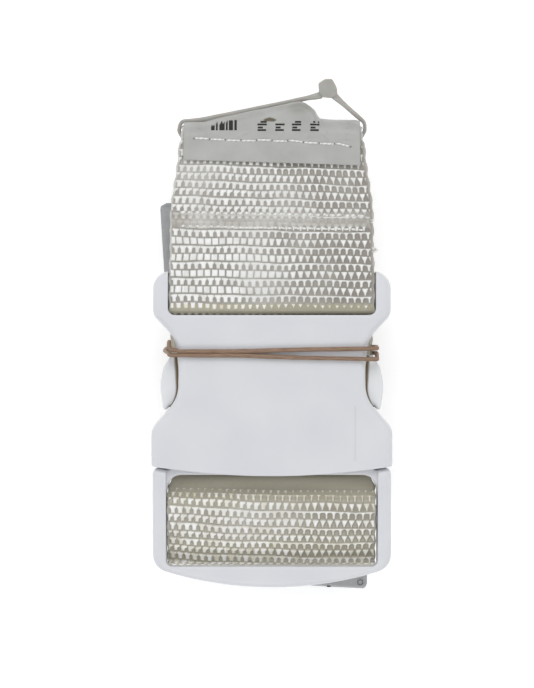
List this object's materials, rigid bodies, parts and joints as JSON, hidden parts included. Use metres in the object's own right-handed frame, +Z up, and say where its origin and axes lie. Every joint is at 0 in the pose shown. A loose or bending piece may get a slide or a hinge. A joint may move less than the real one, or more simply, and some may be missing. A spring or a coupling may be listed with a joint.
{
  "type": "webbing strap with side-release buckle",
  "caption": "Flat woven strap with a side-release buckle, folded into a bundle and held by a doubled elastic band, with a sewn label, hang loop and leaflet.",
  "frame": {"origin": "on the surface that the bundle lies on, at the middle of its length and width", "axes": "+X across the webbing, +Y along the buckle from its plug towards its socket and the top fold, +Z up through the pile, out of the buckle's front"},
  "size_m": [0.059, 0.127, 0.0298],
  "materials": {
    "housing_plastic": "satin moulded acetal, cool white",
    "arm_plastic": "satin moulded acetal, cool white",
    "webbing": "bright filament webbing, warm white",
    "label_satin": null,
    "thread": "bright polyester sewing thread",
    "nylon": "translucent moulded nylon",
    "band_rubber": "natural rubber, tan",
    "leaflet_paper": "uncoated grey paper"
  },
  "bodies": {
    "socket": {"socket_body": "housing_plastic", "strap_standing": "webbing", "strap_tail": "webbing", "care_label": "label_satin", "label_thread": "thread", "loop_seam_upper": "thread", "loop_seam_lower": "thread", "rubber_band": "band_rubber", "leaflet": "leaflet_paper"},
    "plug": {"plug_frame": "housing_plastic", "strap_adjuster_run": "webbing"},
    "left_arm": {"left_arm": "arm_plastic"},
    "right_arm": {"right_arm": "arm_plastic"},
    "tag_loop": {"tag_loop": "nylon"}
  },
  "joints": [
    {"name": "plug_slide", "type": "slide", "parent": "socket", "child": "plug", "axis": [0, -1, 0], "range_m": [0, 0.034], "deforming": ["left_arm", "right_arm"]},
    {"name": "left_arm_squeeze", "type": "hinge", "parent": "plug", "child": "left_arm", "pos_m": [-0.02315, -0.0299, 0.0224], "axis": [0, 0, -1], "range_deg": [0, 10], "stiffness_Nm_per_rad": 0.5},
    {"name": "right_arm_squeeze", "type": "hinge", "parent": "plug", "child": "right_arm", "pos_m": [0.02315, -0.0299, 0.0224], "axis": [0, 0, 1], "range_deg": [0, 10], "stiffness_Nm_per_rad": 0.5},
    {"name": "hang_loop_swing", "type": "hinge", "parent": "socket", "child": "tag_loop", "pos_m": [0, 0.0469, 0.0165], "axis": [1, 0, 0], "range_deg": [-35, 60]}
  ]
}
